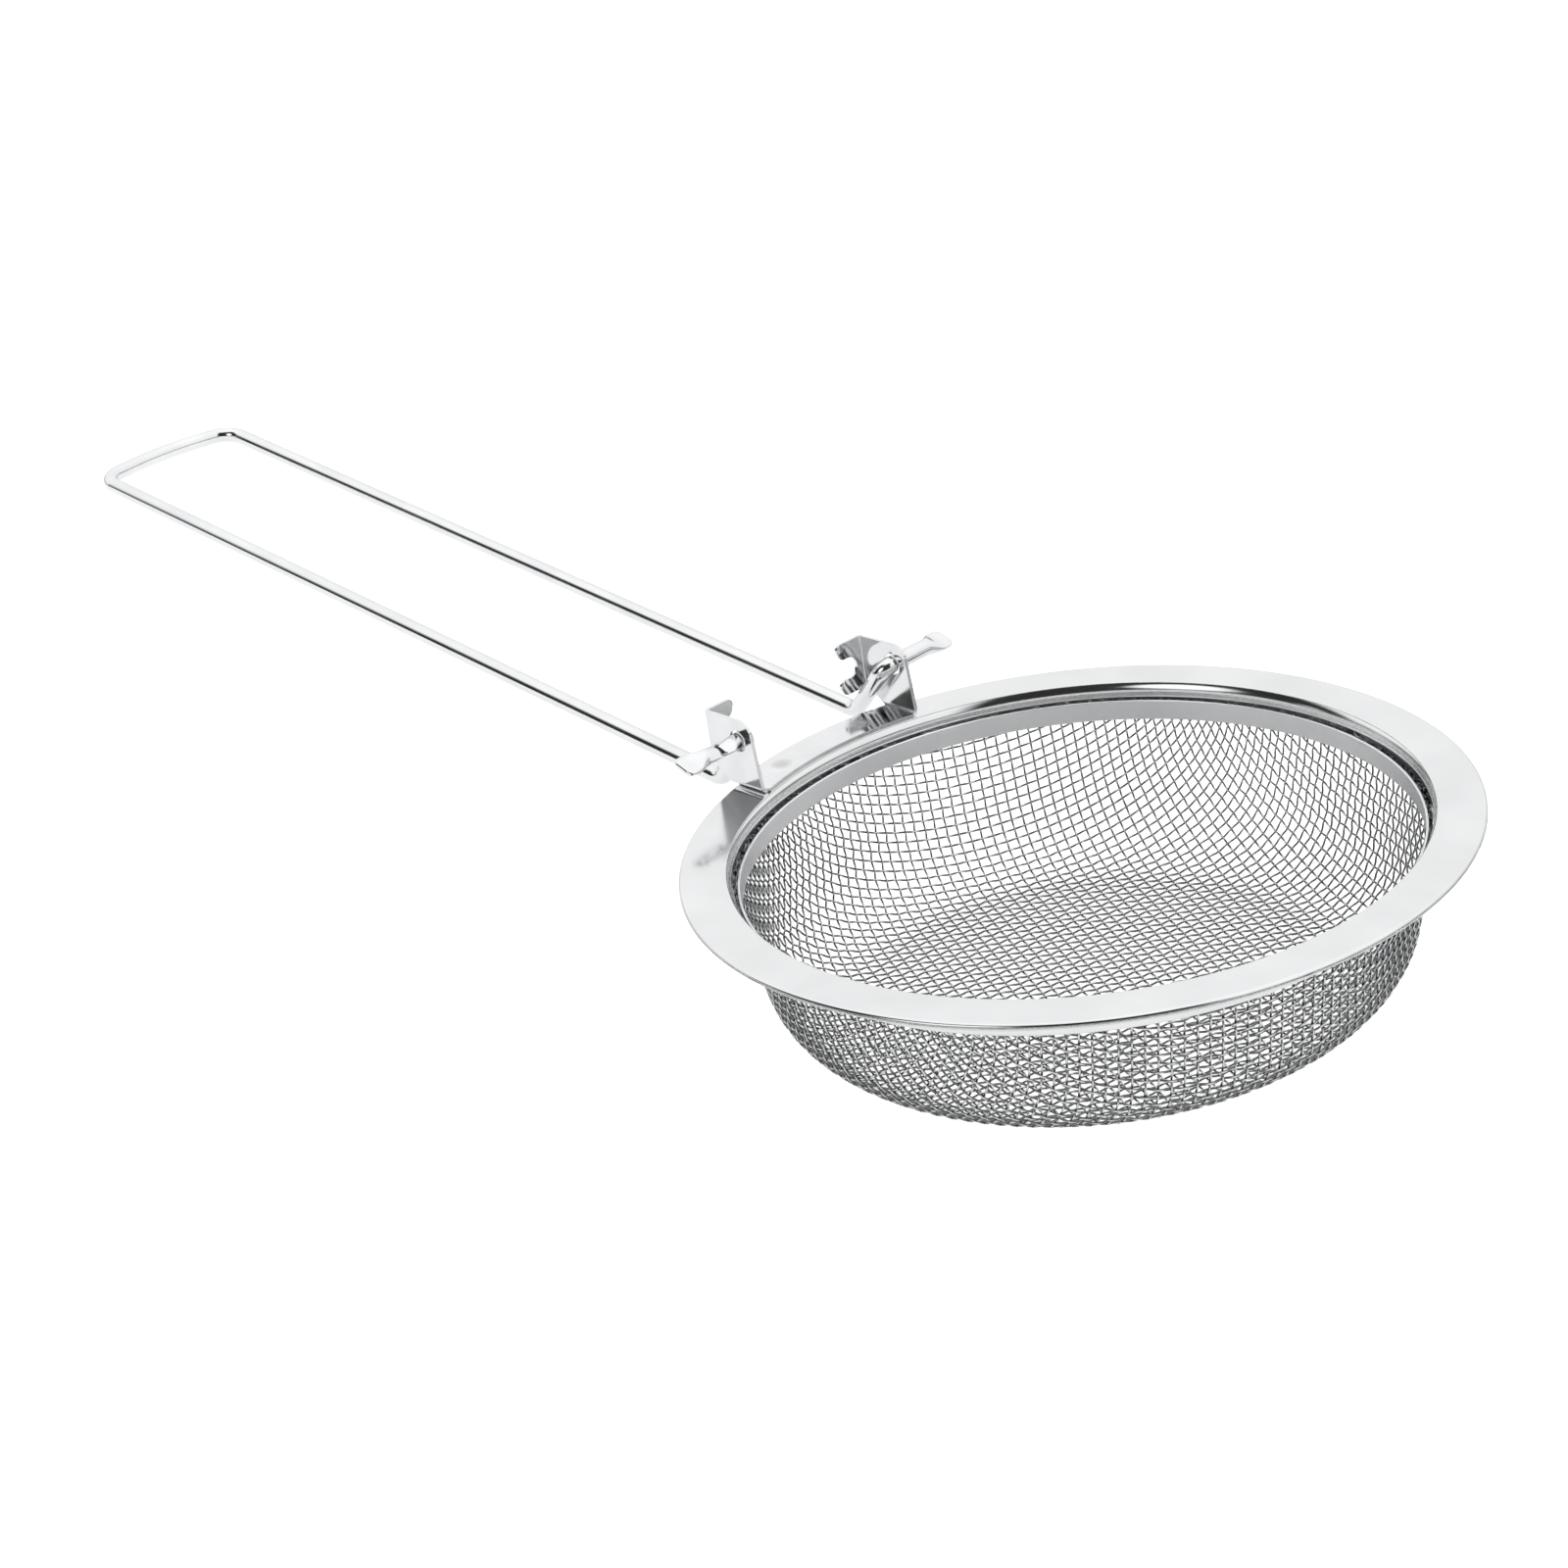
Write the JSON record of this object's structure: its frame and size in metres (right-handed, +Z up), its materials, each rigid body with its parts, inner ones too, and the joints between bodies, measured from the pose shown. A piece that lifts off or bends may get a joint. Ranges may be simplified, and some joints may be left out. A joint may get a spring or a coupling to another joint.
{
  "type": "wire mesh strainer",
  "caption": "Round pan-shaped strainer of woven steel wire with a broad flat rim and a long looped wire handle that locks open and folds over the bowl.",
  "frame": {"origin": "centre of the basket's flat bottom, on its lower face, where the strainer stands on a table", "axes": "+Z up along the basket's axis, towards the rim; -X from the basket's axis towards the end of the handle; +Y completes a right-handed frame, so the part is the same on both sides of Y = 0"},
  "size_m": [0.3797, 0.15, 0.0626],
  "materials": {
    "polished_steel": "polished stainless steel sheet",
    "woven_wire": "plain woven stainless steel wire, bright",
    "handle_wire": "polished round stainless steel wire"
  },
  "bodies": {
    "strainer": {"rim_ring": "polished_steel", "clamp_band": "polished_steel", "mesh_basket": "woven_wire", "hinge_bracket": "polished_steel"},
    "handle": {"wire_handle": "handle_wire"}
  },
  "joints": [
    {"name": "handle_fold", "type": "hinge", "parent": "strainer", "child": "handle", "pos_m": [-0.0688, 0, 0.0453], "axis": [0, 1, 0], "range_deg": [-8, 181], "deforming": ["wire_handle"]}
  ]
}
